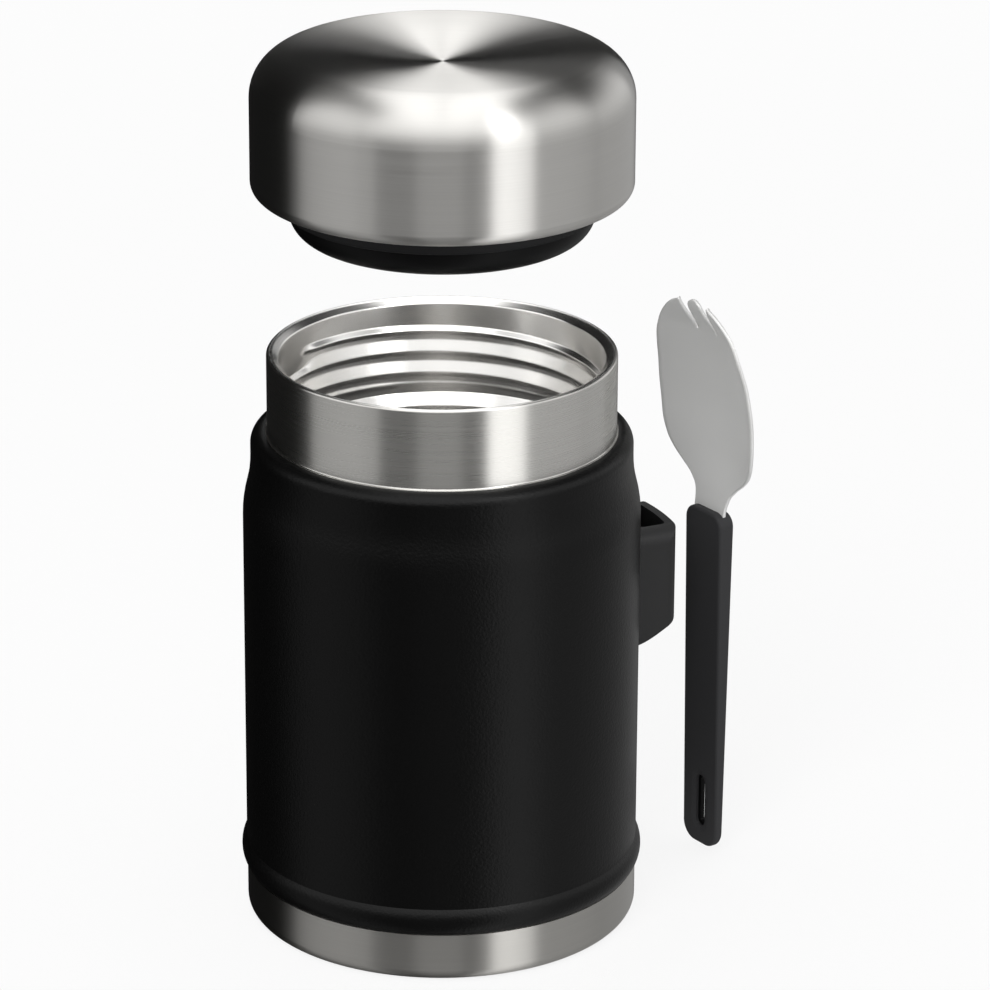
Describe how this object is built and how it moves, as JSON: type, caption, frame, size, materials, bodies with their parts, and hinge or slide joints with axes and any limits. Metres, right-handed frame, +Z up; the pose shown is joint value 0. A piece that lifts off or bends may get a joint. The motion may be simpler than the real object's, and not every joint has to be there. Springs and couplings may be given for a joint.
{
  "type": "insulated food jar",
  "caption": "Vacuum insulated steel food jar with a flat shoulder and rolled bead, a lifted-off screw lid with sealed stopper, and a spork beside its side loop.",
  "frame": {"origin": "centre of the jar's foot ring, on the surface it stands on", "axes": "+Z up along the jar's axis, +X from the axis to the spork loop, +Y completes a right-handed frame"},
  "size_m": [0.1154, 0.0902, 0.1994],
  "materials": {
    "powder_coat": "fine-grained matte powder coat",
    "neck_steel": "satin",
    "vessel_steel": "satin",
    "foil": "satin",
    "getter": "matte",
    "seal_glass": "gloss",
    "base_steel": "brushed round the axis",
    "loop_plastic": "matte",
    "stud_steel": "satin",
    "cap_steel": "brushed round the axis",
    "lid_plastic": "satin",
    "gasket_rubber": "matte",
    "foam": "matte",
    "spork_steel": "satin",
    "handle_plastic": "matte"
  },
  "bodies": {
    "jar": {"outer_shell": "powder_coat", "neck_collar": "neck_steel", "inner_vessel": "vessel_steel", "inner_floor": "vessel_steel", "radiation_foil": "foil", "outer_floor": "vessel_steel", "getter": "getter", "vacuum_seal": "seal_glass", "base_cup": "base_steel", "spork_loop": "loop_plastic", "loop_studs": "stud_steel"},
    "foam_carrier": {"lid_foam": "foam"},
    "gasket_carrier": {"lid_gasket": "gasket_rubber"},
    "lid": {"lid_cap": "cap_steel", "lid_insert": "lid_plastic", "stopper": "lid_plastic", "stopper_base": "lid_plastic"},
    "spork": {"spork_head": "spork_steel", "spork_handle": "handle_plastic"}
  },
  "joints": [
    {"name": "lid_lift", "type": "slide", "parent": "jar", "child": "foam_carrier", "axis": [0, 0, 1], "range_m": [-0.0471, 0]},
    {"name": "lid_advance", "type": "slide", "parent": "foam_carrier", "child": "gasket_carrier", "axis": [0, 0, 1], "range_m": [-0.0075, 0]},
    {"name": "lid_turn", "type": "hinge", "parent": "gasket_carrier", "child": "lid", "pos_m": [0, 0, 0.1683], "axis": [0, 0, 1], "range_deg": [-540, 0]},
    {"name": "spork_lift", "type": "slide", "parent": "jar", "child": "spork", "axis": [0, 0, 1], "range_m": [0, 0.09]}
  ],
  "couplings": [
    {"joint": "lid_advance", "follows": "lid_turn", "m_per_rad": 0.00079577}
  ]
}
